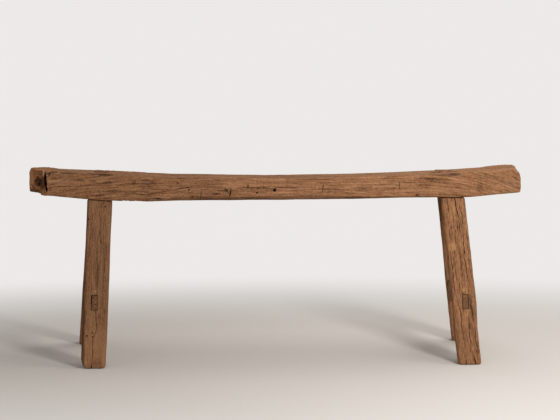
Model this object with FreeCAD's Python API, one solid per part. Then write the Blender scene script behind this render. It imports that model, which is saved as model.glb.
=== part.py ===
import FreeCAD, Part
import math
import os

# Country bench: a thick swaybacked plank on four splayed legs, with a stretcher across each end.
# Millimetres. X runs along the bench, the front faces -Y, Z is up from the floor under the bench's middle.

# Seat plank, its length measured along the rear edge and its height at the lowest point of the top
seat_length = 1348.0
seat_depth = 165.0
seat_height = 490.0
left_rise = 22.0
right_rise = 26.0
seat_arris = 6.0

# Underside of the plank, as drops below seat_height: a long flat between two bends, a slope up to each end
left_end_drop = 38.0
left_bend_drop = 61.0
right_bend_drop = 51.0
right_end_drop = 36.0
left_bend_from_end = 251.0
right_bend_from_end = 154.0

# Broken front corner at the left end, and the slightly skewed saw cut at the right end
broken_corner_long = 60.0
broken_corner_deep = 82.5
right_end_skew = 16.0

# Legs: level section, distance over the feet from front to back, and set of the outer faces under the seat
leg_width = 64.0
leg_depth = 50.0
leg_arris = 5.0
foot_span = 364.0
leg_setback = 5.5

# Seat end to the outer face of each leg under the seat, and how far its foot stands out along the bench
front_left_overhang = 164.0
rear_left_overhang = 153.0
front_right_overhang = 173.0
rear_right_overhang = 164.0
front_left_splay = 11.0
rear_left_splay = 40.0
front_right_splay = 37.0
rear_right_splay = 75.0

# Leg tenons that go right through the seat, and the wedges that spread them
leg_tenon_width = 40.0
leg_tenon_depth = 24.0
seat_wedge_head = 6.0
seat_wedge_tip = 1.5
seat_wedge_length = 38.0

# Stretchers: bars on edge, with a through tenon at each end locked by a wedge under it. Each mortise stands
# off the middle of its leg, outward in front and inward behind, so the bar runs nearly square to the bench.
left_stretcher_height = 169.0
right_stretcher_height = 164.0
front_left_set_out = 4.5
rear_left_set_out = -16.0
front_right_set_out = 7.0
rear_right_set_out = -16.0
stretcher_tall = 48.0
stretcher_thick = 24.0
stretcher_tenon_tall = 22.0
stretcher_tenon_thick = 14.0
stretcher_shoulder = 7.0
tenon_wedge_tall = 12.0
tenon_wedge_slope = 0.08

# Room left round every tenon in its mortise
mortise_gap = 0.2

left_end = -seat_length / 2
right_end = seat_length / 2
front_face = -seat_depth / 2
rear_face = seat_depth / 2
leg_reach = seat_height - left_bend_drop
sky = 2 * seat_height
beyond = foot_span + seat_depth


def top_arc():
    """Sagging line of the seat's top, from the left end to the right."""
    left = FreeCAD.Vector(left_end, front_face, seat_height + left_rise)
    middle = FreeCAD.Vector(0, front_face, seat_height)
    right = FreeCAD.Vector(right_end, front_face, seat_height + right_rise)
    return Part.Arc(left, middle, right).toShape()


def seat_top_at(x):
    """Height of the seat's top above the floor at a place along the bench."""
    circle = top_arc().Curve
    return circle.Center.z - math.sqrt(circle.Radius ** 2 - (x - circle.Center.x) ** 2)


def underside_points():
    """Corners of the underside's profile, from the left end to the right."""
    left_bend = left_end + left_bend_from_end
    right_bend = right_end - right_bend_from_end
    return [
        FreeCAD.Vector(left_end, front_face, seat_height - left_end_drop),
        FreeCAD.Vector(left_bend, front_face, seat_height - left_bend_drop),
        FreeCAD.Vector(right_bend, front_face, seat_height - right_bend_drop),
        FreeCAD.Vector(right_end, front_face, seat_height - right_end_drop),
    ]


def space_above(edges):
    """Everything over a profile line, well past the front, the back and the top of the bench."""
    line = Part.Wire(edges)
    first = line.OrderedVertexes[0].Point
    last = line.OrderedVertexes[-1].Point
    over_last = FreeCAD.Vector(last.x, last.y, sky)
    over_first = FreeCAD.Vector(first.x, first.y, sky)
    roof = Part.makePolygon([last, over_last, over_first, first])
    face = Part.Face(Part.Wire(edges + roof.Edges))
    face.translate(FreeCAD.Vector(0, -beyond, 0))
    return face.extrude(FreeCAD.Vector(0, 2 * beyond + seat_depth, 0))


def space_above_top():
    """Everything over the seat's top."""
    return space_above([top_arc()])


def space_above_underside():
    """Everything over the seat's underside."""
    return space_above(Part.makePolygon(underside_points()).Edges)


def seat_blank():
    """The plank before its mortises: sagging profile, plan outline with its broken corner, eased arrises."""
    plan = Part.makePolygon([
        FreeCAD.Vector(left_end + broken_corner_long, front_face, 0),
        FreeCAD.Vector(right_end - right_end_skew, front_face, 0),
        FreeCAD.Vector(right_end, rear_face, 0),
        FreeCAD.Vector(left_end, rear_face, 0),
        FreeCAD.Vector(left_end, front_face + broken_corner_deep, 0),
        FreeCAD.Vector(left_end + broken_corner_long, front_face, 0),
    ])
    board = Part.Face(plan).extrude(FreeCAD.Vector(0, 0, sky))
    board = board.common(space_above_underside()).cut(space_above_top())
    return board.makeChamfer(seat_arris, [edge for edge in board.Edges if runs_along_board(edge)])


def runs_along_board(edge):
    """True for the long edges of the front and rear faces."""
    box = edge.BoundBox
    return box.YLength < seat_arris and box.XLength > box.ZLength


def leg_axis(overhang, splay, set_out, mortise_height, end, face):
    """Foot centre of a leg, its lean per millimetre of height, and the middle of its stretcher mortise;
    end and face are -1 or 1."""
    foot_x = end * (seat_length / 2 - overhang - leg_width / 2 + splay)
    foot_y = face * (foot_span - leg_depth) / 2
    top_y = face * ((seat_depth - leg_depth) / 2 - leg_setback)
    foot = FreeCAD.Vector(foot_x, foot_y, 0)
    lean = FreeCAD.Vector(-end * splay / leg_reach, (top_y - foot_y) / leg_reach, 1)
    mortise = foot + lean * mortise_height + FreeCAD.Vector(end * set_out, 0, 0)
    return foot, lean, mortise


def axis_point(axis, height):
    """Centre of a leg at a height above the floor."""
    foot, lean, mortise = axis
    return foot + lean * height


def leg_section(axis, width, depth, height):
    """Level rectangle across a leg's axis."""
    centre = axis_point(axis, height)
    corners = [(-1, -1), (1, -1), (1, 1), (-1, 1), (-1, -1)]
    return Part.makePolygon([centre + FreeCAD.Vector(i * width / 2, j * depth / 2, 0) for i, j in corners])


def leaning_bar(axis, width, depth, low, high):
    """Rectangular bar that follows a leg's axis between two heights."""
    return Part.Face(leg_section(axis, width, depth, low)).extrude(axis[1] * (high - low))


def leg_stock(axis):
    """Squared leg before any joint is cut, longer than needed at the top."""
    return leaning_bar(axis, leg_width, leg_depth, 0, sky)


def worn_leg_stock(axis):
    """Leg stock with its four long arrises rounded over."""
    stock = leg_stock(axis)
    return stock.makeFillet(leg_arris, [edge for edge in stock.Edges if edge.BoundBox.ZLength > seat_height])


def leg_tenon(axis, gap):
    """Tenon that runs up from inside the leg and out over the seat, grown by a gap all round."""
    width = leg_tenon_width + 2 * gap
    depth = leg_tenon_depth + 2 * gap
    return leaning_bar(axis, width, depth, axis[2].z + stretcher_tall, sky)


def seat_wedge_stock(axis):
    """Wedge driven down into the end of a leg tenon, left long above the seat."""
    surface = seat_top_at(axis_point(axis, seat_height).x)
    low = leg_section(axis, seat_wedge_tip, leg_tenon_depth, surface - seat_wedge_length)
    high = leg_section(axis, seat_wedge_head, leg_tenon_depth, surface + seat_wedge_length / 2)
    return Part.makeLoft([low, high], True, True)


def bar_frame(front, rear):
    """Start of a stretcher's axis in the front leg, its length, and its directions along and across."""
    start = front[2]
    run = rear[2] - start
    along = FreeCAD.Vector(run).normalize()
    across = FreeCAD.Vector(-along.y, along.x, 0)
    return start, run.Length, along, across


def bar_on_edge(front, rear, profile, thick):
    """Bar whose side outline is given as (distance along, height from the axis) pairs."""
    start, length, along, across = bar_frame(front, rear)
    side = start - across * (thick / 2)
    points = [side + along * run + FreeCAD.Vector(0, 0, height) for run, height in profile]
    return Part.Face(Part.makePolygon(points + points[:1])).extrude(across * thick)


def stretcher_body(front, rear):
    """The part of a stretcher between the inner faces of its two legs."""
    length = bar_frame(front, rear)[1]
    half = stretcher_tall / 2
    bar = bar_on_edge(front, rear, [(0, -half), (length, -half), (length, half), (0, half)], stretcher_thick)
    return bar.cut(leg_stock(front)).cut(leg_stock(rear))


def tenon_levels():
    """Lower and upper face of a stretcher's tenons, from its axis."""
    high = stretcher_tall / 2 - stretcher_shoulder
    return high - stretcher_tenon_tall, high


def stretcher_tenon(front, rear, gap):
    """Tenon bar that runs out past both legs, grown by a gap at its sides and top."""
    length = bar_frame(front, rear)[1]
    low, high = tenon_levels()
    spare = 2 * leg_depth
    profile = [(-spare, low), (length + spare, low), (length + spare, high + gap), (-spare, high + gap)]
    return bar_on_edge(front, rear, profile, stretcher_tenon_thick + 2 * gap)


def tenon_wedge_stock(front, rear, at_front, gap):
    """Wedge under a stretcher tenon, thicker towards the outer face of its leg, left long at both ends."""
    length = bar_frame(front, rear)[1]
    low = tenon_levels()[0]
    place, outward = (0, -1) if at_front else (length, 1)
    profile = [(place + outward * leg_depth, low), (place - outward * leg_depth, low)]
    for side in (-1, 1):
        depth = tenon_wedge_tall + side * leg_depth * tenon_wedge_slope
        profile.append((place + side * outward * leg_depth, low - depth))
    return bar_on_edge(front, rear, profile, stretcher_tenon_thick + 2 * gap)


def make_leg(axis, front, rear, at_front):
    """One leg: shouldered shaft, through tenon with its wedge slot, mortise for the stretcher."""
    shaft = worn_leg_stock(axis).cut(space_above_underside())
    tenon = leg_tenon(axis, 0).cut(space_above_top()).cut(seat_wedge_stock(axis))
    leg = shaft.fuse(tenon).removeSplitter()
    leg = leg.cut(stretcher_tenon(front, rear, mortise_gap))
    return leg.cut(tenon_wedge_stock(front, rear, at_front, mortise_gap))


def make_stretcher(front, rear):
    """One stretcher: body between the legs, and a tenon through each leg, trimmed flush outside."""
    tenon = stretcher_tenon(front, rear, 0)
    through_front = tenon.common(leg_stock(front))
    through_rear = tenon.common(leg_stock(rear))
    return stretcher_body(front, rear).fuse([through_front, through_rear]).removeSplitter()


def make_seat(axes):
    """The plank with a through mortise for each leg."""
    seat = seat_blank()
    for axis in axes:
        seat = seat.cut(leg_tenon(axis, mortise_gap))
    return seat


def write(shape, name):
    """Save one piece, as the single solid that it is."""
    shape.Solids[0].exportStep("parts/" + name + ".step")


os.makedirs("parts", exist_ok=True)

pairs = {
    "left": (
        leg_axis(front_left_overhang, front_left_splay, front_left_set_out, left_stretcher_height, -1, -1),
        leg_axis(rear_left_overhang, rear_left_splay, rear_left_set_out, left_stretcher_height, -1, 1),
    ),
    "right": (
        leg_axis(front_right_overhang, front_right_splay, front_right_set_out, right_stretcher_height, 1, -1),
        leg_axis(rear_right_overhang, rear_right_splay, rear_right_set_out, right_stretcher_height, 1, 1),
    ),
}

write(make_seat([axis for pair in pairs.values() for axis in pair]), "seat_plank")
for end, (front, rear) in pairs.items():
    write(make_stretcher(front, rear), "stretcher_" + end)
    for place, axis in (("front", front), ("rear", rear)):
        corner = place + "_" + end
        at_front = place == "front"
        write(make_leg(axis, front, rear, at_front), "leg_" + corner)
        write(seat_wedge_stock(axis).cut(space_above_top()), "seat_wedge_" + corner)
        wedge = tenon_wedge_stock(front, rear, at_front, 0)
        write(wedge.common(leg_stock(axis)), "tenon_wedge_" + corner)
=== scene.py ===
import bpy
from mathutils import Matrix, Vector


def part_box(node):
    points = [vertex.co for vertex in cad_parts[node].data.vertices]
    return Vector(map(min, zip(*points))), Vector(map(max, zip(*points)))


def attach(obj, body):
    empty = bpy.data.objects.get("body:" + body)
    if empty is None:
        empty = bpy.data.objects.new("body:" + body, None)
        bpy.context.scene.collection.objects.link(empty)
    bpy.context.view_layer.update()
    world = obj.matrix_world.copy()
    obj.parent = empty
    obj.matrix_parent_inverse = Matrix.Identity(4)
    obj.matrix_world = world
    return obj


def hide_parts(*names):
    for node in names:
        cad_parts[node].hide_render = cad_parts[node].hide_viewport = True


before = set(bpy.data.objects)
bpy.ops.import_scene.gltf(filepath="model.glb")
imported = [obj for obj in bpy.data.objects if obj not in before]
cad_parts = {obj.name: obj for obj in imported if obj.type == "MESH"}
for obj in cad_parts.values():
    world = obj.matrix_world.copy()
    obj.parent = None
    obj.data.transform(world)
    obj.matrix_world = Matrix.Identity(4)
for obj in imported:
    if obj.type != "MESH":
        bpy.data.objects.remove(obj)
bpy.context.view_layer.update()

import math
import bpy
from mathutils import Euler, Matrix, Vector, noise

# The seat: one thick plank of old elm, hewn by hand and worn hollow along its top. Its underside slopes up at
# both ends, its left front corner has broken away, and the tenons of the legs come up through it.
plank_low, plank_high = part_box("seat_plank")
plank_left = plank_low.x
plank_right = plank_high.x
plank_front = plank_low.y
plank_back = plank_high.y
left_end_top = 0.5150
middle_top = 0.4912
right_end_top = plank_high.z + 0.0012
underside = [(plank_left, 0.4515), (-0.423, plank_low.z), (0.520, 0.4378), (plank_right, 0.4515)]
broken_corner = [Vector((plank_left + 0.060, plank_front, 0)), Vector((plank_left, 0, 0))]
right_saw_cut = [
    Vector((plank_right - 0.0165, plank_front, 0)),
    Vector((plank_right - 0.0015, plank_back, 0)),
]
under_radius = 0.008
top_radius = 0.005
arris_slack = 0.001
slice_count = 40
plank_voxel = 0.0029
crisp_angle = math.radians(50)


def block(name, centre, size):
    """A squared block of timber, ready to be shaped."""
    bpy.ops.object.select_all(action="DESELECT")
    bpy.ops.mesh.primitive_cube_add(size=1, location=centre)
    piece = bpy.context.object
    piece.name = name
    piece.scale = size
    bpy.ops.object.transform_apply(location=True, rotation=True, scale=True)
    return piece


def work_on(piece):
    """Make one piece the only one in hand."""
    bpy.ops.object.select_all(action="DESELECT")
    piece.select_set(True)
    bpy.context.view_layer.objects.active = piece


def saw(piece, point, normal, drop=True):
    """Saw a piece along a plane; what lies on the normal's side falls away, or stays as a marked line."""
    work_on(piece)
    bpy.ops.object.mode_set(mode="EDIT")
    bpy.ops.mesh.select_all(action="SELECT")
    bpy.ops.mesh.bisect(plane_co=point, plane_no=normal, use_fill=drop, clear_outer=drop)
    bpy.ops.object.mode_set(mode="OBJECT")


def round_over(piece, wanted, radius, steps=4):
    """Round over the edges whose two ends pass a test."""
    work_on(piece)
    bpy.ops.object.mode_set(mode="EDIT")
    bpy.ops.mesh.select_mode(type="EDGE")
    bpy.ops.mesh.select_all(action="DESELECT")
    bpy.ops.object.mode_set(mode="OBJECT")
    corners = piece.data.vertices
    for edge in piece.data.edges:
        edge.select = wanted(*[corners[i].co for i in edge.vertices])
    bpy.ops.object.mode_set(mode="EDIT")
    bpy.ops.mesh.bevel(offset=radius, segments=steps, affect="EDGES")
    bpy.ops.object.mode_set(mode="OBJECT")


def finish_with(piece, kind, **settings):
    """Put a modifier on a piece and apply it."""
    work_on(piece)
    bpy.ops.object.modifier_add(type=kind)
    modifier = piece.modifiers[-1]
    for key, value in settings.items():
        setattr(modifier, key, value)
    bpy.ops.object.modifier_apply(modifier=modifier.name)


def weather(piece, grain, size, pull, depth):
    """Uneven the surface with a cloudy pattern of a given size, pulled out along the grain."""
    texture = bpy.data.textures.new("weather", type="CLOUDS")
    texture.noise_scale = 1
    texture.noise_depth = 3
    bpy.ops.object.select_all(action="DESELECT")
    bpy.ops.object.empty_add(location=(0.31 * size, 0.17 * size, 0.23))
    across = bpy.context.object
    across.rotation_euler = grain.to_track_quat("Z", "Y").to_euler()
    across.scale = (size, size, size * pull)
    bpy.context.view_layer.update()
    finish_with(piece, "DISPLACE", texture=texture, texture_coords="OBJECT", texture_coords_object=across,
                strength=depth, mid_level=0.5)
    bpy.data.objects.remove(across)
    bpy.data.textures.remove(texture)


def sliver(centre, along, into, length, width, depth):
    """A closed sliver, pointed at both ends, that bends and swells as it runs: the hollow of a drying check,
    a chip, or a pit where it is as wide as it is long."""
    bpy.ops.object.select_all(action="DESELECT")
    bpy.ops.mesh.primitive_uv_sphere_add(segments=12, ring_count=44, radius=1)
    shape = bpy.context.object
    centre = Vector(centre)
    along = Vector(along).normalized()
    side = along.cross(Vector(into)).normalized()
    inward = along.cross(side)
    for vertex in shape.data.vertices:
        across, deep, run = vertex.co
        place = centre + along * run * length / 2
        ragged = noise.noise((place + vertex.co * width) * 420)
        swell = 1 + 0.55 * noise.noise(place * 130) + 0.55 * ragged
        bend = noise.noise(place * 38) * min(length * 0.07, 0.004)
        vertex.co = place + side * (across * swell * width / 2 + bend) + inward * deep * swell * depth
    return shape


def cut_out(piece, shapes, inner_wood, place):
    """Cut a set of shapes out of a piece; the cut faces take the wood in the given material place."""
    bpy.ops.object.select_all(action="DESELECT")
    for shape in shapes:
        shape.select_set(True)
    cutter = shapes[0]
    bpy.context.view_layer.objects.active = cutter
    if len(shapes) > 1:
        bpy.ops.object.join()
    for step in range(place):
        cutter.data.materials.append(None)
    cutter.data.materials.append(inner_wood)
    for face in cutter.data.polygons:
        face.material_index = place
    finish_with(piece, "BOOLEAN", operation="DIFFERENCE", object=cutter, solver="MANIFOLD")
    bpy.data.objects.remove(cutter)


def press(piece, centre, reach, push):
    """Press or pull the surface inside an egg-shaped reach, most in its middle and unevenly."""
    for vertex in piece.data.vertices:
        offset = vertex.co - Vector(centre)
        distance = Vector([gap / most for gap, most in zip(offset, reach)]).length
        if distance < 1:
            uneven = 1 + 0.5 * noise.noise(vertex.co * 120) + 0.3 * noise.noise(vertex.co * 330)
            vertex.co += Vector(push) * (1 - distance ** 2) ** 1.5 * uneven


def add(tree, kind, links=None, **settings):
    """Add a node, set its properties, and give its inputs a value or a link."""
    node = tree.nodes.new(kind)
    for key, value in settings.items():
        setattr(node, key, value)
    for key, value in (links or {}).items():
        if isinstance(value, bpy.types.NodeSocket):
            tree.links.new(value, node.inputs[key])
        else:
            node.inputs[key].default_value = value
    return node


def blend(tree, factor, first, second, how="MIX"):
    """Mix two colours by a factor."""
    node = add(tree, "ShaderNodeMix", data_type="RGBA", blend_type=how)
    for index, value in ((0, factor), (6, first), (7, second)):
        if isinstance(value, bpy.types.NodeSocket):
            tree.links.new(value, node.inputs[index])
        else:
            node.inputs[index].default_value = value
    return node.outputs[2]


def reckon(tree, how, first, second=0.0, clamp=False):
    """Arithmetic on two values."""
    node = add(tree, "ShaderNodeMath", {0: first, 1: second}, operation=how, use_clamp=clamp)
    return node.outputs[0]


def shift_vector(tree, how, first, second):
    """Arithmetic on two vectors."""
    return add(tree, "ShaderNodeVectorMath", {0: first, 1: second}, operation=how).outputs[0]


def ease(tree, value, low, high, start=0.0, end=1.0):
    """Smooth step of a value between two limits."""
    node = add(tree, "ShaderNodeMapRange", {0: value, 1: low, 2: high, 3: start, 4: end},
               interpolation_type="SMOOTHSTEP")
    return node.outputs[0]


def cloud(tree, place, stretch, detail, seed, rough=0.5):
    """Noise on a place vector, with its own fineness in each direction."""
    spot = shift_vector(tree, "MULTIPLY", place, stretch)
    node = add(tree, "ShaderNodeTexNoise", {"Vector": spot, "W": seed, "Scale": 1.0, "Detail": detail,
                                            "Roughness": rough}, noise_dimensions="4D")
    return node.outputs


def patch(tree, place, centre, reach, ragged):
    """1 inside an egg-shaped patch round a point, falling to 0 at its ragged rim."""
    offset = shift_vector(tree, "SUBTRACT", place, centre)
    scaled = shift_vector(tree, "DIVIDE", offset, reach)
    distance = add(tree, "ShaderNodeVectorMath", {0: scaled}, operation="LENGTH").outputs["Value"]
    torn = reckon(tree, "ADD", distance, reckon(tree, "MULTIPLY", ragged, 1.6))
    return ease(tree, torn, 1.15, 0.65)


pore_dark = (0.030, 0.015, 0.008, 1)
crack_dark = (0.020, 0.010, 0.006, 1)
knot_dark = (0.042, 0.020, 0.011, 1)
end_grain_dark = (0.060, 0.027, 0.012, 1)
grime_and_shade_dark = (0.018, 0.010, 0.006, 1)
rings_per_metre = 170


def elm(name, place, turn, heart, seed, tones, stains=(), knots=(), sweep=None, figure=1.0, flecked=1.0,
        fleck_length=0.0067, cracked=0.6, end_dark=0.3):
    """Old elm, its grain along the local Z of a place and turn: faint growth rings round a heart, fibres,
    open pores in drifts, hairline cracks, blotches, stains, knots, rubbed edges, dark end grain, and grime
    with painted shade in the hollows."""
    deep, plain, pale = [(*tone, 1) for tone in tones]
    material = bpy.data.materials.new(name)
    material.use_nodes = True
    tree = material.node_tree
    shader = tree.nodes["Principled BSDF"]
    spot = add(tree, "ShaderNodeTexCoord").outputs["Object"]
    local = add(tree, "ShaderNodeMapping", {"Vector": spot, "Location": place, "Rotation": turn},
                vector_type="TEXTURE").outputs[0]

    wander = cloud(tree, local, (9, 9, 2.2), 3, seed)["Color"]
    wander = shift_vector(tree, "SUBTRACT", wander, (0.5, 0.5, 0.5))
    path = shift_vector(tree, "ADD", local, shift_vector(tree, "MULTIPLY", wander, (0.03, 0.03, 0)))
    if sweep:
        path = sweep(tree, path)
    for centre, reach, swirl in knots:
        near = patch(tree, spot, centre, [r * 2.4 for r in reach], 0.0)
        offset = shift_vector(tree, "SUBTRACT", spot, centre)
        away = shift_vector(tree, "MULTIPLY", offset, (0, swirl, swirl))
        bulge = add(tree, "ShaderNodeVectorMath", {0: away, "Scale": near}, operation="SCALE").outputs[0]
        path = shift_vector(tree, "ADD", path, bulge)

    flat = shift_vector(tree, "MULTIPLY", shift_vector(tree, "SUBTRACT", path, heart), (1, 1, 0))
    radius = add(tree, "ShaderNodeVectorMath", {0: flat}, operation="LENGTH").outputs["Value"]
    waver = cloud(tree, path, (30, 30, 3), 4, seed + 3)["Fac"]
    count = reckon(tree, "ADD", reckon(tree, "MULTIPLY", radius, rings_per_metre),
                   reckon(tree, "MULTIPLY", waver, 3.0))
    ring = reckon(tree, "FRACT", count)
    late = reckon(tree, "MULTIPLY", ease(tree, ring, 0.40, 0.92), ease(tree, ring, 1.0, 0.94))
    drift = cloud(tree, local, (22, 22, 6), 3, seed + 15)["Fac"]
    late = reckon(tree, "MULTIPLY", late, ease(tree, drift, 0.35, 0.65))

    fibre = cloud(tree, path, (520, 520, 40), 4, seed + 5, 0.7)["Fac"]
    fleck = cloud(tree, path, (290, 290, 1 / fleck_length), 4, seed + 6, 0.6)["Fac"]
    streak = cloud(tree, path, (230, 230, 13), 4, seed + 7, 0.6)["Fac"]
    blotch = cloud(tree, path, (60, 60, 14), 4, seed + 8, 0.6)["Fac"]
    broad = cloud(tree, local, (10, 10, 3), 4, seed + 13, 0.55)["Fac"]
    vein = reckon(tree, "SUBTRACT", cloud(tree, path, (48, 48, 3.2), 4, seed + 21, 0.6)["Fac"], 0.5)
    vein = ease(tree, reckon(tree, "ABSOLUTE", vein), 0.022, 0.004)
    vein = reckon(tree, "MULTIPLY", vein, ease(tree, blotch, 0.42, 0.58))
    pore = ease(tree, cloud(tree, path, (360, 360, 24), 3, seed + 9, 0.6)["Fac"],
                ease(tree, drift, 0.35, 0.65, 0.37, 0.44), 0.30)
    hair = ease(tree, cloud(tree, path, (140, 140, 2.6), 4, seed + 11, 0.6)["Fac"],
                ease(tree, drift, 0.65, 0.35, 0.33, 0.39), 0.27)
    hair = reckon(tree, "MULTIPLY", hair, cracked)

    tone = reckon(tree, "ADD", fibre, reckon(tree, "MULTIPLY", fleck, 1.3 * flecked))
    tone = reckon(tree, "ADD", tone, reckon(tree, "MULTIPLY", streak, 1.2 * figure))
    tone = reckon(tree, "ADD", tone, reckon(tree, "MULTIPLY", blotch, 0.6 * figure))
    tone = reckon(tree, "ADD", tone, reckon(tree, "MULTIPLY", broad, 0.7 * figure))
    tone = reckon(tree, "SUBTRACT", tone, reckon(tree, "MULTIPLY", late, 0.16))
    tone = reckon(tree, "SUBTRACT", tone, reckon(tree, "MULTIPLY", vein, 0.30))
    tone = reckon(tree, "SUBTRACT", tone, 0.65 * flecked + 1.25 * figure - 0.06)
    colour = blend(tree, ease(tree, tone, 0.05, 0.55), deep, plain)
    colour = blend(tree, ease(tree, tone, 0.45, 1.00), colour, pale)

    ragged = cloud(tree, path, (110, 110, 26), 4, seed + 19, 0.65)["Fac"]
    ragged = reckon(tree, "SUBTRACT", ragged, 0.5)
    for centre, reach, tint, strength in stains:
        mask = reckon(tree, "MULTIPLY", patch(tree, spot, centre, reach, ragged), strength)
        colour = blend(tree, mask, colour, (*tint, 1))
    for centre, reach, swirl in knots:
        mask = reckon(tree, "MULTIPLY", patch(tree, spot, centre, reach, ragged), 0.45)
        colour = blend(tree, mask, colour, knot_dark)
    colour = blend(tree, reckon(tree, "MULTIPLY", pore, 0.38), colour, pore_dark)
    colour = blend(tree, reckon(tree, "MULTIPLY", hair, 0.75), colour, crack_dark)

    facing = add(tree, "ShaderNodeTexCoord").outputs["Normal"]
    grain = Euler(turn).to_matrix() @ Vector((0, 0, 1))
    along = add(tree, "ShaderNodeVectorMath", {0: facing, 1: grain}, operation="DOT_PRODUCT").outputs["Value"]
    endwise = ease(tree, reckon(tree, "ABSOLUTE", along), 0.55, 0.9)
    colour = blend(tree, reckon(tree, "MULTIPLY", endwise, end_dark), colour, end_grain_dark)

    bend = add(tree, "ShaderNodeNewGeometry").outputs["Pointiness"]
    rubbed = reckon(tree, "MULTIPLY", ease(tree, bend, 0.52, 0.60), ease(tree, ragged, -0.2, 0.2))
    colour = blend(tree, reckon(tree, "MULTIPLY", rubbed, 0.35), colour, pale)
    # Grime and painted shade: the hollows found by Pointiness are darkened.
    hollow_grime_and_shade = ease(tree, bend, 0.485, 0.43)
    colour = blend(tree, reckon(tree, "MULTIPLY", hollow_grime_and_shade, 0.65), colour, grime_and_shade_dark)

    open_grain = reckon(tree, "MAXIMUM", pore, hair)
    gloss = ease(tree, streak, 0.3, 0.7, 0.70, 0.86)
    gloss = reckon(tree, "ADD", gloss, reckon(tree, "MULTIPLY", open_grain, 0.12))
    relief = reckon(tree, "MULTIPLY", open_grain, -1.0)
    relief = reckon(tree, "SUBTRACT", relief, reckon(tree, "MULTIPLY", vein, 0.35))
    relief = reckon(tree, "ADD", relief, reckon(tree, "MULTIPLY", late, 0.20))
    relief = reckon(tree, "ADD", relief, reckon(tree, "MULTIPLY", fibre, 0.9))
    relief = reckon(tree, "ADD", relief, reckon(tree, "MULTIPLY", streak, 0.9))
    relief = reckon(tree, "ADD", relief, reckon(tree, "MULTIPLY", fleck, 0.7 * flecked))
    bump = add(tree, "ShaderNodeBump", {"Strength": 0.8, "Distance": 0.0016, "Height": relief})
    tree.links.new(colour, shader.inputs["Base Color"])
    tree.links.new(gloss, shader.inputs["Roughness"])
    tree.links.new(bump.outputs[0], shader.inputs["Normal"])
    shader.inputs["Specular IOR Level"].default_value = 0.05
    return material


def dark_heart_and_shade(name):
    """The dirty, long-open wood inside checks, holes, joints and rot, with the shade in them painted in as
    near-black.
    """
    material = bpy.data.materials.new(name)
    material.use_nodes = True
    tree = material.node_tree
    shader = tree.nodes["Principled BSDF"]
    spot = add(tree, "ShaderNodeTexCoord").outputs["Object"]
    dust = cloud(tree, spot, (160, 160, 160), 4, 2.0)["Fac"]
    black_shade_wood = (0.014, 0.008, 0.005, 1)
    dusty_wood = (0.060, 0.032, 0.018, 1)
    colour = blend(tree, ease(tree, dust, 0.35, 0.7), black_shade_wood, dusty_wood)
    bump = add(tree, "ShaderNodeBump", {"Strength": 0.6, "Distance": 0.002, "Height": dust})
    tree.links.new(colour, shader.inputs["Base Color"])
    tree.links.new(bump.outputs[0], shader.inputs["Normal"])
    shader.inputs["Roughness"].default_value = 0.9
    shader.inputs["Specular IOR Level"].default_value = 0.1
    return material


def top_of_plank(x):
    """Height of the hollowed top at a place along the plank."""
    run = x / plank_right
    ends = (left_end_top + right_end_top) / 2 - middle_top
    return middle_top + (right_end_top - left_end_top) / 2 * run + ends * run ** 2


def under_plank(x):
    """Height of the underside at a place along the plank."""
    for (start, low), (end, high) in zip(underside, underside[1:]):
        if x <= end:
            break
    return low + (high - low) * (x - start) / (end - start)


def cut_end(piece, corners):
    """Cut the plank along an upright plane through two corners of its plan, dropping the outer side."""
    first, second = corners
    middle = Vector(((plank_left + plank_right) / 2, (plank_front + plank_back) / 2, 0))
    normal = (second - first).cross(Vector((0, 0, 1)))
    if normal.dot(first - middle) < 0:
        normal.negate()
    saw(piece, first, normal)


plank_middle = (plank_low + plank_high) / 2
plank = block("seat_plank_hewn", plank_middle, plank_high - plank_low)
for step in range(1, slice_count):
    saw(plank, (plank_left + (plank_right - plank_left) * step / slice_count, 0, 0), (1, 0, 0), drop=False)
for place, height in underside[1:-1]:
    saw(plank, (place, 0, 0), (1, 0, 0), drop=False)
for vertex in plank.data.vertices:
    upper = vertex.co.z > plank_middle.z
    vertex.co.z = top_of_plank(vertex.co.x) if upper else under_plank(vertex.co.x)
cut_end(plank, broken_corner)
cut_end(plank, right_saw_cut)


def along_a_face(start, end):
    """Edges that lie in the plank's front face or in its back face."""
    return abs(start.y - end.y) < arris_slack and abs(abs(start.y) - plank_back) < arris_slack


def top_arris(start, end):
    """Edges along the upper front and back arrises of the plank."""
    drop = max(top_of_plank(point.x) - point.z for point in (start, end))
    return along_a_face(start, end) and drop < arris_slack


def under_arris(start, end):
    """Edges along the lower front and back arrises of the plank."""
    rise = max(point.z - under_plank(point.x) for point in (start, end))
    return along_a_face(start, end) and rise < arris_slack


round_over(plank, under_arris, under_radius)
round_over(plank, top_arris, top_radius)
# Each knocked corner has a point of its cut and the direction in which the wood fell away.
knocked_corners = [
    ((0.6400, plank_front, 0.5102), (0.674, -0.26, 0.738)),
    ((0.6549, plank_front, 0.4953), (0.949, -0.20, 0.316)),
    ((0.6555, plank_front, 0.4522), (0.70, -0.30, -0.65)),
    ((0.672, plank_back, 0.515), (0.6, 0.3, 0.75)),
    ((plank_left + 0.006, 0.0, 0.5117), (-0.68, -0.2, 0.73)),
]
for point, normal in knocked_corners:
    saw(plank, point, normal)
finish_with(plank, "REMESH", mode="VOXEL", voxel_size=plank_voxel)
finish_with(plank, "SMOOTH", factor=0.5, iterations=3)
plank_grain = Vector((1, 0, 0))
weather(plank, plank_grain, size=0.07, pull=4, depth=0.0045)
weather(plank, plank_grain, size=0.012, pull=7, depth=0.0016)

seat_tones = [(0.100, 0.0455, 0.0207), (0.294, 0.137, 0.0645), (0.462, 0.240, 0.124)]


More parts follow.
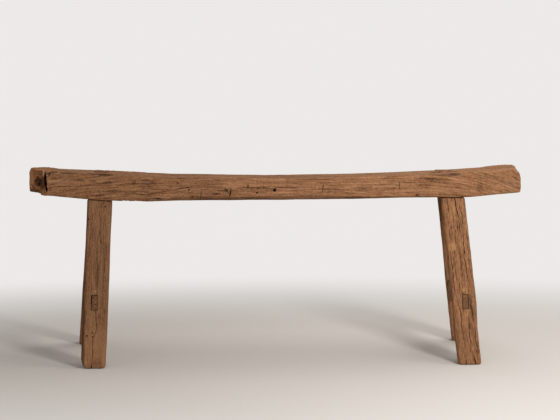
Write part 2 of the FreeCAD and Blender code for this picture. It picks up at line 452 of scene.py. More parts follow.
def end_sweep(tree, path):
    """Grain that runs level along the plank and dips towards both ends, more at the right one."""
    right_start = 0.40
    left_start = -0.34
    right_dip = -0.85
    left_dip = -0.36
    parts = add(tree, "ShaderNodeSeparateXYZ", {0: path}).outputs
    right = reckon(tree, "MAXIMUM", reckon(tree, "SUBTRACT", parts["Z"], right_start), 0.0)
    left = reckon(tree, "MAXIMUM", reckon(tree, "SUBTRACT", left_start, parts["Z"]), 0.0)
    right_shift = reckon(tree, "MULTIPLY", reckon(tree, "MULTIPLY", right, right), right_dip)
    left_shift = reckon(tree, "MULTIPLY", reckon(tree, "MULTIPLY", left, left), left_dip)
    shift = add(tree, "ShaderNodeCombineXYZ", {"X": reckon(tree, "ADD", right_shift, left_shift)}).outputs[0]
    return shift_vector(tree, "ADD", path, shift)


# soot_and_shade marks real soot on the seat and also lays painted shade on the legs.
soot_and_shade = (0.030, 0.017, 0.011)
worn_dark = (0.085, 0.040, 0.020)
underside_shade_and_dirt = (0.055, 0.026, 0.013)
red_streak = (0.085, 0.038, 0.026)
rubbed_elm = (0.600, 0.310, 0.158)
grey_elm = (0.430, 0.245, 0.145)
end_elm = (0.330, 0.170, 0.094)
end_red_elm = (0.310, 0.150, 0.075)
fresh_break_and_painted_light = (0.545, 0.228, 0.092)
orange_break_and_painted_light = (0.760, 0.335, 0.145)
flap_break_and_painted_light = (0.580, 0.250, 0.105)
rim_dark = (0.070, 0.028, 0.012)
rot_dark = (0.045, 0.022, 0.012)
hollow_dark = (0.045, 0.018, 0.009)
ring_dark = (0.045, 0.023, 0.014)
ring_heart = (0.480, 0.225, 0.105)
pale_sliver = (0.860, 0.560, 0.360)
facet = (broken_corner[1] - broken_corner[0]).normalized()
into_facet = Vector((facet.y, -facet.x, 0))


def on_facet(run, height):
    """A point of the broken corner, by its distance from the front face and its height."""
    return broken_corner[0] + facet * run + Vector((0, 0, height))


# Each stain has its centre, its reach, its colour and its strength.
seat_stains = [
    # The broken corner faces away from the key lamp: its paler fresh-broken wood is painted lighter still, as
    # painted light.
    (on_facet(0.055, 0.480), (0.055, 0.065, 0.045), fresh_break_and_painted_light, 0.74),
    (on_facet(0.096, 0.486), (0.015, 0.024, 0.032), orange_break_and_painted_light, 0.85),
    (on_facet(0.022, 0.4510), (0.011, 0.020, 0.009), flap_break_and_painted_light, 0.70),
    (on_facet(0.026, 0.479), (0.017, 0.034, 0.019), rot_dark, 0.74),
    (on_facet(0.074, 0.4545), (0.030, 0.045, 0.0080), rim_dark, 0.65),
    (on_facet(0.053, 0.480), (0.018, 0.030, 0.015), hollow_dark, 0.75),
    (on_facet(0.040, 0.5060), (0.0088, 0.018, 0.0068), ring_dark, 0.80),
    (on_facet(0.040, 0.5060), (0.0058, 0.018, 0.0042), ring_heart, 0.95),
    (on_facet(0.0192, 0.5045), (0.0036, 0.012, 0.0090), pale_sliver, 1.0),
    ((-0.6078, plank_front, 0.5042), (0.0055, 0.020, 0.0055), soot_and_shade, 0.55),
    ((-0.6075, plank_front, 0.4690), (0.0055, 0.020, 0.0036), soot_and_shade, 0.42),
    ((-0.6075, plank_front, 0.4618), (0.0050, 0.020, 0.0040), soot_and_shade, 0.42),
    ((-0.5800, plank_front, 0.4842), (0.0380, 0.020, 0.0030), grey_elm, 0.50),
    # Painted shade, partly dirt: a dark band along the rounded lower front arris of the seat.
    ((0.04, plank_front, 0.4365), (0.42, 0.050, 0.0070), underside_shade_and_dirt, 0.60),
    ((-0.215, plank_front, 0.470), (0.080, 0.05, 0.050), worn_dark, 0.17),
    ((0.055, plank_front, 0.466), (0.085, 0.05, 0.050), rubbed_elm, 0.11),
    ((-0.352, plank_front, 0.475), (0.034, 0.03, 0.010), soot_and_shade, 0.25),
    ((0.230, plank_front, 0.463), (0.026, 0.03, 0.008), soot_and_shade, 0.25),
    ((0.545, plank_front, 0.468), (0.009, 0.03, 0.024), soot_and_shade, 0.28),
    ((0.627, plank_front, 0.4752), (0.024, 0.03, 0.013), end_elm, 0.50),
    ((0.586, plank_front, 0.4890), (0.016, 0.03, 0.008), end_red_elm, 0.50),
    ((0.457, -0.022, 0.502), (0.044, 0.026, 0.008), soot_and_shade, 0.50),
    ((-0.560, plank_front + 0.006, 0.506), (0.026, 0.010, 0.004), soot_and_shade, 0.55),
    ((-0.4625, plank_front + 0.006, 0.502), (0.028, 0.010, 0.004), soot_and_shade, 0.55),
    ((0.476, plank_front + 0.004, 0.501), (0.022, 0.012, 0.0025), soot_and_shade, 0.65),
    ((0.453, plank_front + 0.002, 0.4985), (0.032, 0.012, 0.0034), red_streak, 0.65),
]
# Each knot has its centre, its reach and how far the grain swirls round it.
seat_knots = [
    ((-0.527, plank_front, 0.488), (0.012, 0.02, 0.004), 0.5),
    ((-0.492, plank_front, 0.485), (0.012, 0.02, 0.004), 0.5),
    ((-0.456, plank_front, 0.480), (0.013, 0.02, 0.005), 0.6),
    ((-0.385, plank_front, 0.482), (0.007, 0.02, 0.006), 0.8),
    ((-0.140, plank_front, 0.4600), (0.007, 0.02, 0.0050), 0.6),
    ((-0.129, plank_front, 0.4535), (0.004, 0.02, 0.0100), 0.6),
]
along_x = (0, math.pi / 2, 0)
seat_heart = (0.10, -0.16, 0)
seat_seed = 1.0
seat_wood = elm("old_elm_seat", plank_middle, along_x, seat_heart, seat_seed, seat_tones, seat_stains,
                seat_knots, end_sweep, figure=1.1, flecked=0.9, fleck_length=0.006)
# Dirty wood with painted shade: near-black on the cut faces of checks, holes, mortises and joints.
open_wood_and_shade = dark_heart_and_shade("open_check_wood_and_shade")
plank.data.materials.append(seat_wood)
plank.data.materials.append(open_wood_and_shade)

into_front = Vector((0, 1, 0))
into_hollow = Vector((0.05, 1, 0))
# Each place of wear has its centre, its reach and how far the surface moves.
rot_hollow = (on_facet(0.047, 0.480), (0.026, 0.045, 0.024), into_hollow * 0.010)
left_hump = ((-0.633, 0.075, 0.513), (0.032, 0.070, 0.030), (0, 0, 0.0028))
top_over_left_legs = ((-0.430, 0.080, 0.501), (0.150, 0.080, 0.030), (0, 0, 0.0028))
hollow_beside_left_legs = ((-0.408, plank_front, plank_low.z), (0.065, 0.060, 0.020), (0, 0, 0.0042))
right_hump = ((0.628, 0.075, 0.514), (0.050, 0.060, 0.020), (0, 0, 0.0024))
right_end_wear = ((0.664, -0.005, 0.506), (0.018, 0.050, 0.022), (-0.0035, 0, 0))
right_end_notch = ((0.655, -0.042, 0.5165), (0.022, 0.058, 0.0120), (-0.0070, 0, 0))
flap_droop = (on_facet(0.030, 0.448), (0.022, 0.034, 0.012), (0, 0, -0.0032))
flap_lip = (on_facet(0.012, 0.452), (0.022, 0.022, 0.012), into_facet * -0.004)
for wear in (rot_hollow, left_hump, top_over_left_legs, hollow_beside_left_legs, right_hump, right_end_wear,
             right_end_notch, flap_droop, flap_lip):
    press(plank, *wear)


def front_check(x, height, length, width, slope=0.0, depth=0.009):
    """A check in the plank's front face, along the grain unless it slopes."""
    return sliver((x, plank_front, height), (1, 0, slope), into_front, length, width, depth)


def top_chip(x, length, width):
    """A splinter gone from the plank's upper front arris."""
    place = (x, plank_front + 0.006, top_of_plank(x) - 0.0005)
    return sliver(place, (1, 0, -0.04), into_front, length, width, 0.010)


split_run = facet * 0.115 + Vector((0, 0, 1))
into_split = (0.3, 1, 0)
upward = (0, 0, 1)
seat_checks = [
    sliver(on_facet(0.0080, 0.4800), split_run, into_split, 0.052, 0.0075, 0.030),
    sliver(on_facet(0.0105, 0.5030), split_run, into_split, 0.020, 0.0030, 0.010),
    sliver(on_facet(0.0510, 0.4735) + into_hollow * 0.006, (0.3, 0, 1), into_hollow, 0.012, 0.0045, 0.008),
    sliver(on_facet(0.0600, 0.4880) + into_hollow * 0.003, (0.2, 0, 1), into_hollow, 0.018, 0.0030, 0.007),
    sliver(on_facet(0.0380, 0.4640) + into_hollow * 0.003, (0.6, 0, 1), into_hollow, 0.012, 0.0028, 0.007),
    sliver(on_facet(0.080, 0.4676), facet * 0.9 + Vector((0, 0, 0.4)), into_facet, 0.026, 0.0028, 0.008),
    sliver(on_facet(0.076, 0.448), facet, upward, 0.076, 0.050, 0.0042),
    front_check(-0.6078, 0.5040, 0.009, 0.0032, 2.5, 0.006),
    front_check(-0.572, 0.4708, 0.056, 0.0012, 0.01),
    front_check(-0.602, 0.4757, 0.018, 0.0011, 0.02),
    front_check(-0.588, 0.4925, 0.030, 0.0010, -0.03),
    front_check(-0.382, 0.4505, 0.090, 0.0011, -0.02),
    front_check(-0.316, 0.4545, 0.060, 0.0011, 0.17),
    front_check(-0.250, 0.4665, 0.090, 0.0012, 0.16),
    front_check(-0.207, 0.4480, 0.026, 0.0016, 30.0),
    front_check(-0.138, 0.4580, 0.018, 0.0022, -1.15, 0.007),
    front_check(-0.129, 0.4545, 0.030, 0.0026, 12.0, 0.008),
    front_check(-0.060, 0.4648, 0.100, 0.0019, -0.01, 0.014),
    front_check(0.015, 0.4655, 0.080, 0.0016, 0.04, 0.012),
    front_check(-0.0813, 0.4695, 0.013, 0.0028, 30.0, 0.010),
    front_check(-0.0573, 0.4526, 0.007, 0.0040, 1.0),
    front_check(-0.0101, 0.4605, 0.011, 0.0080, 6.0, 0.010),
    front_check(0.1193, 0.4648, 0.020, 0.0020, 14.0, 0.010),
    front_check(0.148, 0.4602, 0.050, 0.0014, 0.0),
    front_check(0.3264, 0.4695, 0.022, 0.0014, -40.0),
    front_check(-0.167, 0.4495, 0.026, 0.0026, 0.0),
    front_check(-0.2394, 0.4605, 0.008, 0.0029, 2.0),
    front_check(-0.3081, 0.4511, 0.007, 0.0022, 0.5),
    front_check(-0.2877, 0.4693, 0.009, 0.0018, 0.5),
    front_check(-0.2693, 0.4793, 0.007, 0.0022, -2.0),
    front_check(-0.2297, 0.4407, 0.010, 0.0026, 0.2),
    front_check(-0.3228, 0.4380, 0.014, 0.0026, 0.0),
    front_check(0.4144, 0.4825, 0.007, 0.0016, 1.5),
    front_check(0.374, 0.4440, 0.009, 0.0034, 0.3),
    front_check(0.100, 0.4872, 0.110, 0.0014, -0.015, 0.005),
]
top_chips = [
    top_chip(-0.597, 0.022, 0.0040),
    top_chip(-0.560, 0.046, 0.0050),
    top_chip(-0.500, 0.020, 0.0044),
    top_chip(-0.4625, 0.048, 0.0048),
]
cut_out(plank, top_chips, seat_wood, 0)
cut_out(plank, seat_checks, open_wood_and_shade, 1)
split = sliver(on_facet(0.0092, 0.4850), split_run, into_split, 0.040, 0.0125, 0.030)
cut_out(plank, [split], open_wood_and_shade, 1)
flap_step = sliver(on_facet(0.057, 0.4485), facet, upward, 0.034, 0.050, 0.0040)
cut_out(plank, [flap_step], open_wood_and_shade, 1)
work_on(plank)
bpy.ops.object.shade_smooth_by_angle(angle=crisp_angle)
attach(plank, "root")
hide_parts("seat_plank")

# The four legs: squared elm posts set at a splay, each with a through tenon into the plank and a mortise for
# the stretcher. The grain runs up each leg and has opened in long drying checks; the feet are worn round,
# and the right front leg has a slight crook below its mortise.
leg_width = 0.064
leg_depth = 0.050
tenon_width = 0.040
tenon_depth = 0.024
joint_gap = 0.0010
shoulder_gap = 0.0014
leg_tenon_stand = 0.0022
tenon_root = 0.40
tenon_spare = 0.05
hole_low = 0.38
hole_high = 0.60
slope_step = 0.01
leg_voxel = 0.0021
leg_heart = (0.05, 0.09, 0)
brown_elm = [(0.098, 0.0443, 0.0205), (0.283, 0.131, 0.0616), (0.433, 0.218, 0.110)]
# A darker copy of brown_elm: dull wood for some pieces, and painted shade for the rear left leg.
dull_and_shaded_elm = [(0.080, 0.037, 0.0173), (0.230, 0.109, 0.053), (0.350, 0.183, 0.095)]
leg_tones = {
    "front_left": dull_and_shaded_elm,
    "front_right": brown_elm,
    # The rear left leg takes the darker copy as painted shade, for the front left leg's shadow.
    "rear_left": dull_and_shaded_elm,
    "rear_right": brown_elm,
}
# Where each leg's two sides stand from its middle line, at its foot and at its top.
leg_sides = {
    "front_left": ((-0.0338, 0.0304), (-0.0326, 0.0314)),
    "front_right": ((-0.0284, 0.0342), (-0.0284, 0.0400)),
    "rear_left": ((-0.0345, 0.0320), (-0.0300, 0.0320)),
    "rear_right": ((-0.0352, 0.0320), (-0.0250, 0.0320)),
}
leg_turns = {"front_left": 0.0, "front_right": 0.10, "rear_left": 0.0, "rear_right": 0.11}
leg_arrises = {"front_left": 0.008, "front_right": 0.009, "rear_left": 0.008, "rear_right": 0.003}
inner_arrises = {"front_left": 0.018, "front_right": 0.024, "rear_left": 0.018, "rear_right": 0.024}
foot_arris = 0.004
leg_crook = {"front_right": -0.0042}
crook_top = 0.155
crook_run = 0.060
# Each cut on a worn foot has its inset from the left side, its height and its direction.
worn_feet = {"front_left": [(0.0025, 0.018, (-0.954, 0, -0.298)), (0.0100, 0.005, (-0.707, 0, -0.707))]}
leg_wear = {"front_left": 0.8, "front_right": 1.7, "rear_left": 1.1, "rear_right": 1.3}


def leg_line(corner):
    """Centre of a leg's foot and its lean for each metre of height, read from the frame."""
    low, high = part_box("leg_" + corner)
    wedge = sum(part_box("seat_wedge_" + corner), Vector()) / 2
    foot_x = low.x + leg_width / 2 if corner.endswith("left") else high.x - leg_width / 2
    foot_y = low.y + leg_depth / 2 if corner.startswith("front") else high.y - leg_depth / 2
    foot = Vector((foot_x, foot_y, 0))
    return foot, (wedge - foot) / wedge.z


def leaning_post(name, corner, foot_sides, top_sides, depth, low, high):
    """A post that leans as its leg does; its two sides are placed at its foot and at its top."""
    foot, lean = leg_line(corner)
    post = block(name, foot + Vector((0, 0, (low + high) / 2)), (1, depth, high - low))
    for vertex in post.data.vertices:
        left, right = foot_sides if vertex.co.z < (low + high) / 2 else top_sides
        vertex.co.x = foot.x + (left if vertex.co.x < foot.x else right)
        vertex.co.xy += lean.xy * vertex.co.z
    return post


def long_arris(start, end):
    """The upright edges of a post."""
    return abs(start.z - end.z) > 0.1


def stretcher_line(end):
    """Middle of a stretcher in its front leg and in its rear leg, over the wedges that lock it there."""
    low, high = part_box("stretcher_" + end)
    points = []
    for place in ("front_", "rear_"):
        foot, lean = leg_line(place + end)
        point = foot + lean * (low.z + high.z) / 2
        point.x = sum(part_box("tenon_wedge_" + place + end), Vector()).x / 2
        points.append(point)
    return points


def bar_on_edge(name, end, thick, low, high, overrun):
    """A bar set on edge along a stretcher's line, between two heights from that line."""
    front, rear = stretcher_line(end)
    run = rear - front
    bar = block(name, (0, 0, 0), (thick, run.length + 2 * overrun, high - low))
    turn = Matrix.Rotation(math.atan2(-run.x, run.y), 4, "Z")
    middle = (front + rear) / 2 + Vector((0, 0, (low + high) / 2))
    bar.data.transform(Matrix.Translation(middle) @ turn)
    return bar


mortise_thick = 0.014
mortise_gap = 0.0016
mortise_low = -0.0190
mortise_high = 0.017


def make_leg(corner):
    """Shape one leg and its tenon."""
    foot, lean = leg_line(corner)
    foot_sides, top_sides = leg_sides[corner]
    leg = leaning_post("leg_" + corner + "_hewn", corner, foot_sides, top_sides, leg_depth, 0, plank_high.z)
    for vertex in leg.data.vertices:
        behind = vertex.co.y - lean.y * vertex.co.z - foot.y + leg_depth / 2
        vertex.co.x += behind * leg_turns[corner]

    def inner_arris(start, end):
        """The upright edge at the back of a leg that looks to the middle of the bench."""
        place = start - lean * start.z
        return long_arris(start, end) and place.y > foot.y and (place.x - foot.x) * foot.x < 0

    def other_arris(start, end):
        """The upright edges that are still square."""
        place = start - lean * start.z
        return long_arris(start, end) and (place.y < foot.y or (place.x - foot.x) * foot.x > 0)

    def under_foot(start, end):
        """The edges round the sole of a leg."""
        return max(start.z, end.z) < 0.0001

    round_over(leg, inner_arris, inner_arrises[corner])
    round_over(leg, other_arris, leg_arrises[corner])
    round_over(leg, under_foot, foot_arris, steps=2)
    for inset, height, normal in worn_feet.get(corner, ()):
        saw(leg, foot + Vector((foot_sides[0] + inset, 0, height)), normal)
    shoulder = foot + lean * plank_low.z
    rise = under_plank(shoulder.x + slope_step) - under_plank(shoulder.x - slope_step)
    saw(leg, (shoulder.x, 0, under_plank(shoulder.x) - shoulder_gap), (-rise / (2 * slope_step), 0, 1))
    sides = (-tenon_width / 2, tenon_width / 2)
    tenon = leaning_post("tenon", corner, sides, sides, tenon_depth, tenon_root,
                         plank_high.z + tenon_spare)
    wedge = foot + lean * plank_high.z
    saw(tenon, (wedge.x, 0, top_of_plank(wedge.x) + leg_tenon_stand), (0, 0, 1))
    work_on(leg)
    tenon.select_set(True)
    bpy.ops.object.join()
    finish_with(leg, "REMESH", mode="VOXEL", voxel_size=leg_voxel)
    finish_with(leg, "SMOOTH", factor=0.5, iterations=3)
    weather(leg, lean, size=0.05, pull=4, depth=0.0030)
    weather(leg, lean, size=0.010, pull=9, depth=0.0016 * leg_wear[corner])
    weather(leg, lean, size=0.005, pull=5, depth=0.0010 * leg_wear[corner])
    for vertex in leg.data.vertices:
        below_mortise = min(max((crook_top - vertex.co.z) / crook_run, 0), 1)
        vertex.co.x += leg_crook.get(corner, 0) * below_mortise
        vertex.co.z = max(vertex.co.z, 0)
    return leg


def on_leg(corner, height, across):
    """A point of a leg's outer face, by its height and its distance from the leg's middle line."""
    foot, lean = leg_line(corner)
    outward = -1 if corner.startswith("front") else 1
    return foot + lean * height + Vector((across, outward * leg_depth / 2, 0))


def leg_check(corner, height, across, length, width, lean_off=0.0, depth=0.010):
    """A check up the outer face of a leg, by its height and its distance from the leg's middle line."""
    lean = leg_line(corner)[1]
    run = lean + Vector((lean_off, 0, 0))
    return sliver(on_leg(corner, height, across), run, into_front, length, width, depth)


# Each check has its height, its distance from the middle line, its length and its width, and some have a
# slant and a depth of their own.
leg_checks = {
    "front_left": [
        (0.4165, 0.0166, 0.006, 0.0028),
        (0.4171, 0.0051, 0.005, 0.0018),
        (0.3845, -0.0275, 0.005, 0.0030),
        (0.0837, -0.0197, 0.006, 0.0038),
        (0.0912, -0.0047, 0.006, 0.0030),
        (0.0810, -0.0043, 0.007, 0.0036),
        (0.228, 0.0000, 0.056, 0.0012, -0.02),
        (0.128, 0.0020, 0.055, 0.0015, -0.08),
        (0.088, 0.0000, 0.060, 0.0011, 0.10),
        (0.040, -0.0026, 0.075, 0.0016),
        (0.373, -0.0170, 0.095, 0.0010, -0.07),
        (0.360, 0.0053, 0.095, 0.0009, -0.08),
        (0.258, 0.0018, 0.100, 0.0011, -0.06),
        (0.300, 0.0165, 0.200, 0.0008, -0.026),
        (0.225, -0.0130, 0.090, 0.0008),
        (0.004, -0.0040, 0.016, 0.0032),
    ],
    "front_right": [
        (0.412, 0.0109, 0.075, 0.0022, -0.10),
        (0.352, 0.0150, 0.050, 0.0016, -0.10),
        (0.418, -0.0108, 0.048, 0.0018),
        (0.355, 0.0086, 0.042, 0.0014, -0.10),
        (0.395, -0.0020, 0.050, 0.0010),
        (0.385, 0.0240, 0.080, 0.0014, -0.05),
        (0.140, 0.0190, 0.050, 0.0016, 0.0, 0.005),
        (0.004, -0.0114, 0.022, 0.0026),
        (0.010, 0.0135, 0.034, 0.0032, -0.2),
        (0.260, 0.0060, 0.090, 0.0014),
        (0.250, 0.0200, 0.110, 0.0016, -0.04),
        (0.235, -0.0190, 0.120, 0.0014),
        (0.110, -0.0117, 0.120, 0.0015),
        (0.080, 0.0068, 0.100, 0.0018, 0.03),
        (0.060, 0.0210, 0.090, 0.0016),
        (0.310, 0.0200, 0.060, 0.0015),
        (0.200, -0.0060, 0.060, 0.0013),
    ],
    "rear_left": [
        (0.280, 0.006, 0.240, 0.0022),
        (0.100, -0.010, 0.160, 0.0020),
        (0.330, -0.016, 0.120, 0.0016),
    ],
    "rear_right": [
        (0.260, -0.008, 0.260, 0.0024),
        (0.090, 0.010, 0.150, 0.0020),
        (0.340, 0.016, 0.120, 0.0016),
    ],
}
leg_chips = {
    "front_right": [
        (0.158, 0.0195, 0.030, 0.0050, 0.10, 0.0024),
        (0.136, 0.0205, 0.034, 0.0050, 0.05, 0.0026),
    ],
}
leg_figure = {
    "front_left": {"figure": 0.72, "flecked": 0.80, "fleck_length": 0.007, "cracked": 0.35},
    "front_right": {"figure": 0.70, "flecked": 1.15, "fleck_length": 0.010, "cracked": 0.4, "end_dark": 0.5},
    "rear_left": {"figure": 0.75, "flecked": 0.6, "fleck_length": 0.012, "cracked": 0.5},
    "rear_right": {"figure": 0.75, "flecked": 0.9, "fleck_length": 0.014, "cracked": 0.5, "end_dark": 0.55},
}
pale_elm = (0.46, 0.23, 0.10)
lit_foot_elm = (0.380, 0.190, 0.090)
rubbed_leg = (0.460, 0.230, 0.110)
chipped_dark = (0.110, 0.060, 0.040)
chipped_brown = (0.130, 0.068, 0.045)
shade_and_dirt_dark = (0.050, 0.021, 0.010)
leg_stains = {
    "front_left": [
        # Painted light: the lower part of the leg is made paler, as a brighter pool of light there.
        (on_leg("front_left", 0.045, 0.0000), (0.045, 0.04, 0.075), lit_foot_elm, 0.35),
        (on_leg("front_left", 0.018, 0.0096), (0.012, 0.02, 0.014), soot_and_shade, 0.25),
        # Painted shade: a dark strip down the rounded left arris, which turns away from the key lamp.
        (on_leg("front_left", 0.410, -0.0330), (0.0050, 0.04, 0.060), soot_and_shade, 0.50),
        (on_leg("front_left", 0.320, -0.0335), (0.0050, 0.04, 0.060), soot_and_shade, 0.50),
        (on_leg("front_left", 0.230, -0.0340), (0.0050, 0.04, 0.060), soot_and_shade, 0.50),
        (on_leg("front_left", 0.140, -0.0320), (0.0070, 0.04, 0.065), shade_and_dirt_dark, 0.60),
        (on_leg("front_left", 0.055, -0.0315), (0.0085, 0.04, 0.065), shade_and_dirt_dark, 0.65),
        # Darker towards the foot.
        (on_leg("front_left", 0.006, 0.0000), (0.0320, 0.03, 0.014), shade_and_dirt_dark, 0.18),
        (on_leg("front_left", 0.1965, -0.0026), (0.0036, 0.02, 0.0046), rubbed_leg, 0.50),
    ],
    "front_right": [
        (on_leg("front_right", 0.3074, -0.0118), (0.011, 0.02, 0.012), pale_elm, 0.65),
        (on_leg("front_right", 0.1935, 0.0050), (0.0040, 0.02, 0.0080), pale_elm, 0.75),
        (on_leg("front_right", 0.1350, 0.0050), (0.0070, 0.02, 0.0160), pale_elm, 0.40),
        (on_leg("front_right", 0.1640, 0.0190), (0.0062, 0.02, 0.0180), chipped_dark, 0.62),
        (on_leg("front_right", 0.1300, 0.0245), (0.0060, 0.02, 0.0300), chipped_brown, 0.50),
        (on_leg("front_right", 0.405, 0.0000), (0.007, 0.02, 0.032), pale_elm, 0.5),
        (on_leg("front_right", 0.045, -0.0020), (0.050, 0.05, 0.085), shade_and_dirt_dark, 0.15),
        # Painted shadow: the inner side of the leg is darkened just under the plank.
        (on_leg("front_right", 0.420, -0.0300) + into_front * 0.016, (0.007, 0.02, 0.060), soot_and_shade, 0.60),
    ],
    "rear_right": [
        # Painted shadow: the plank's shadow on the front of the rear right leg, just under the seat.
        (on_leg("rear_right", 0.410, -0.0200) - into_front * leg_depth, (0.030, 0.03, 0.060), soot_and_shade, 0.50),
    ],
}
leg_seeds = {"front_left": 11.0, "front_right": 23.0, "rear_left": 37.0, "rear_right": 41.0}
for corner in leg_checks:
    leg = make_leg(corner)
    foot, lean = leg_line(corner)
    turn = lean.to_track_quat("Z", "Y").to_euler()
    leg_wood = elm("old_elm_leg_" + corner, foot, turn, leg_heart, leg_seeds[corner], leg_tones[corner],
                   leg_stains.get(corner, ()), **leg_figure[corner])
    leg.data.materials.append(leg_wood)
    leg.data.materials.append(open_wood_and_shade)
    mortise = bar_on_edge("mortise", corner.split("_")[1], mortise_thick + 2 * mortise_gap,
                          mortise_low - mortise_gap, mortise_high + mortise_gap, leg_depth)
    cut_out(leg, [mortise], open_wood_and_shade, 1)
    if corner in leg_chips:
        cut_out(leg, [leg_check(corner, *row) for row in leg_chips[corner]], leg_wood, 0)
    cut_out(leg, [leg_check(corner, *row) for row in leg_checks[corner]], open_wood_and_shade, 1)
    work_on(leg)
    bpy.ops.object.shade_smooth_by_angle(angle=crisp_angle)
    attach(leg, "root")
    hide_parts("leg_" + corner)
    sides = (-tenon_width / 2 - joint_gap, tenon_width / 2 + joint_gap)
    hole = leaning_post("hole", corner, sides, sides, tenon_depth + 2 * joint_gap, hole_low, hole_high)
    cut_out(plank, [hole], open_wood_and_shade, 1)

# The stretchers: one elm bar on edge across each end, shouldered between the two legs, with a through tenon
# at each end. The tenon's end grain shows on the outer face of the leg, a little below that face.
stretcher_thick = 0.024
stretcher_half = 0.024
stretcher_tenon_low = -0.005
stretcher_tenon_overrun = 0.06
stretcher_voxel = 0.0014
stretcher_heart = (0.04, 0.05, 0)
tenon_stand = {"left": -0.0012, "right": -0.0022}
for end, seed in (("left", 53.0), ("right", 61.0)):
    name = "stretcher_" + end + "_hewn"
    body = bar_on_edge(name, end, stretcher_thick, -stretcher_half, stretcher_half, 0)
    tenon = bar_on_edge("tenon", end, mortise_thick, stretcher_tenon_low, mortise_high,
                        stretcher_tenon_overrun)
    tenon_reach = leg_depth / 2 + tenon_stand[end]
    for place, side in (("front_", 1), ("rear_", -1)):
        foot, lean = leg_line(place + end)
        level = stretcher_line(end)[0].z
        face_normal = Vector((0, -side, side * lean.y))
        inner = foot + lean * level + Vector((0, side * leg_depth / 2, 0))
        outer = foot + lean * level - Vector((0, side * tenon_reach, 0))
        saw(body, inner, face_normal)
        saw(tenon, outer, face_normal)
    work_on(body)
    tenon.select_set(True)
    bpy.ops.object.join()
    finish_with(body, "REMESH", mode="VOXEL", voxel_size=stretcher_voxel)
    finish_with(body, "SMOOTH", factor=0.5, iterations=2)
    front, rear = stretcher_line(end)
    run = (rear - front).normalized()
    weather(body, run, size=0.03, pull=4, depth=0.0012)
    weather(body, run, size=0.008, pull=8, depth=0.0007)
    turn = run.to_track_quat("Z", "Y").to_euler()
    stretcher_wood = elm("old_elm_stretcher_" + end, front, turn, stretcher_heart, seed, dull_and_shaded_elm,
                         figure=0.8, end_dark=0.22)
    body.data.materials.append(stretcher_wood)
    bpy.ops.object.shade_smooth_by_angle(angle=crisp_angle)
    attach(body, "root")
    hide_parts("stretcher_" + end)

# The wedges: split slips of hardwood. Four are driven down into the leg tenons from above, and four are
# knocked in under the stretcher tenons from outside; their ends are darkened end grain.
seat_wedge_tones = [(0.100, 0.050, 0.026), (0.270, 0.135, 0.068), (0.400, 0.210, 0.108)]
tenon_wedge_tones = [(0.085, 0.042, 0.022), (0.225, 0.112, 0.058), (0.340, 0.180, 0.096)]
wedge_voxel = 0.0007
wedge_stand = 0.0004
wedge_heart = (0.02, 0.02, 0)
wedge_seed = 70.0
for number, node in enumerate(sorted(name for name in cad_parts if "wedge" in name)):
    bpy.ops.object.select_all(action="DESELECT")
    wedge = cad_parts[node].copy()
    wedge.data = wedge.data.copy()
    wedge.parent = None
    wedge.name = node + "_split"
    for key in list(wedge.keys()):
        del wedge[key]
    bpy.context.scene.collection.objects.link(wedge)
    wedge.data.materials.clear()
    low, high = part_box(node)
    work_on(wedge)
    finish_with(wedge, "WELD", merge_threshold=0.0001)
    finish_with(wedge, "REMESH", mode="VOXEL", voxel_size=wedge_voxel)
    in_seat = node.startswith("seat")
    if in_seat:
        middle_x = (low.x + high.x) / 2
        for vertex in wedge.data.vertices:
            vertex.co.z += top_of_plank(middle_x) - high.z + wedge_stand
    weather(wedge, Vector((0, 0, 1)), size=0.006, pull=3, depth=0.0005)
    grain_turn = (0, 0, 0) if in_seat else (math.pi / 2, 0, 0)
    tones = seat_wedge_tones if in_seat else tenon_wedge_tones
    wedge_wood = elm("split_wedge_" + str(number), (low + high) / 2, grain_turn, wedge_heart,
                     wedge_seed + number, tones, figure=0.8)
    wedge.data.materials.append(wedge_wood)
    bpy.ops.object.shade_smooth_by_angle(angle=crisp_angle)
    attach(wedge, "root")
    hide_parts(node)

# The studio: a plain pale floor that fades into a pale surround, one soft lamp to the front right, one wide
# lamp overhead, and soft light all round.
floor_size = 60
floor_colour = (0.70, 0.655, 0.605, 1)
floor_spread = (1.5, 0.8, 1)
surround_colour = (0.84, 0.82, 0.805, 1)
surround_light = 0.46


def seen_rays(tree):
    """1 for a ray that looks at the studio, straight or mirrored, and 0 for one that only lights it."""
    rays = add(tree, "ShaderNodeLightPath").outputs
    mirrored = reckon(tree, "MAXIMUM", rays["Is Glossy Ray"], rays["Is Transmission Ray"])
    return reckon(tree, "MAXIMUM", rays["Is Camera Ray"], mirrored)


def hang_lamp(name, place, aim, shape, size, energy):
    """A soft lamp of a given shape and size, turned towards a point of the bench."""
    bpy.ops.object.light_add(type="AREA", location=place)
    lamp = bpy.context.object
    lamp.name = name
    lamp.data.shape = shape
    lamp.data.size, lamp.data.size_y = size
    lamp.data.energy = energy
    lamp.rotation_euler = (Vector(aim) - lamp.location).to_track_quat("-Z", "Y").to_euler()


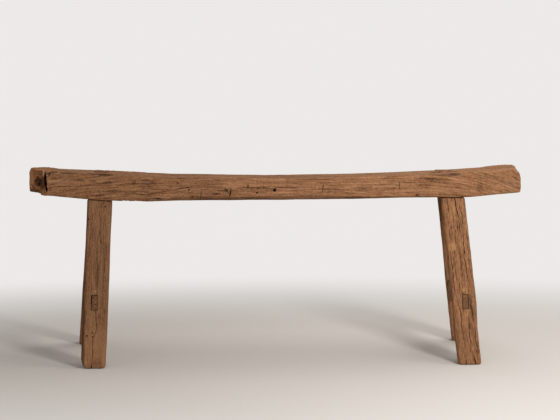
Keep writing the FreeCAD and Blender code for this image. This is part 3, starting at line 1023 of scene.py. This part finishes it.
bpy.ops.object.select_all(action="DESELECT")
bpy.ops.mesh.primitive_plane_add(size=floor_size, location=(0, 0, 0))
floor = bpy.context.object
floor.name = "studio_floor"
floor_paint = bpy.data.materials.new("pale_floor")
floor_paint.use_nodes = True
tree = floor_paint.node_tree
floor_shader = tree.nodes["Principled BSDF"]
floor_shader.inputs["Base Color"].default_value = floor_colour
floor_shader.inputs["Roughness"].default_value = 0.9
floor_shader.inputs["Specular IOR Level"].default_value = 0.1
spot = add(tree, "ShaderNodeTexCoord").outputs["Object"]
spread = shift_vector(tree, "DIVIDE", spot, floor_spread)
far = add(tree, "ShaderNodeVectorMath", {0: spread}, operation="LENGTH").outputs["Value"]
far = ease(tree, far, 0.5, 1.9)
seen = seen_rays(tree)
haze = add(tree, "ShaderNodeEmission", {"Color": surround_colour, "Strength": 1.0}).outputs[0]
sweep_up = add(tree, "ShaderNodeMixShader", {0: reckon(tree, "MULTIPLY", far, seen)})
tree.links.new(floor_shader.outputs[0], sweep_up.inputs[1])
tree.links.new(haze, sweep_up.inputs[2])
tree.links.new(sweep_up.outputs[0], tree.nodes["Material Output"].inputs["Surface"])
floor.data.materials.append(floor_paint)

surround = bpy.data.worlds.new("pale_surround")
bpy.context.scene.world = surround
surround.use_nodes = True
tree = surround.node_tree
seen = seen_rays(tree)
glow = tree.nodes["Background"]
glow.inputs["Color"].default_value = surround_colour
tree.links.new(ease(tree, seen, 0.0, 1.0, surround_light, 1.0), glow.inputs["Strength"])

hang_lamp("key_lamp", (1.14, -1.90, 1.15), (0.0, 0.0, 0.35), "DISK", (0.5, 0.5), 30)
hang_lamp("overhead_lamp", (1.0, 0.2, 1.8), (0.3, 0.0, 0.4), "RECTANGLE", (1.4, 1.2), 14)

# The camera stands where the photograph was taken from: low, in front, a little left of the middle, turned
# a little to the right and tipped a little down. Its focus and its width are in pixels of that picture.
view_place = (-0.1478, -3.2149, 0.6896)
view_tip = 5.17
view_turn = -2.78
view_focus = 1173.4
view_width = 560
film_width = 36
bpy.ops.object.camera_add(location=view_place)
camera = bpy.context.object
camera.rotation_euler = (math.radians(90 - view_tip), 0, math.radians(view_turn))
camera.data.sensor_width = film_width
camera.data.lens = film_width * view_focus / view_width
bpy.context.scene.camera = camera
bpy.context.scene.view_settings.view_transform = "Standard"
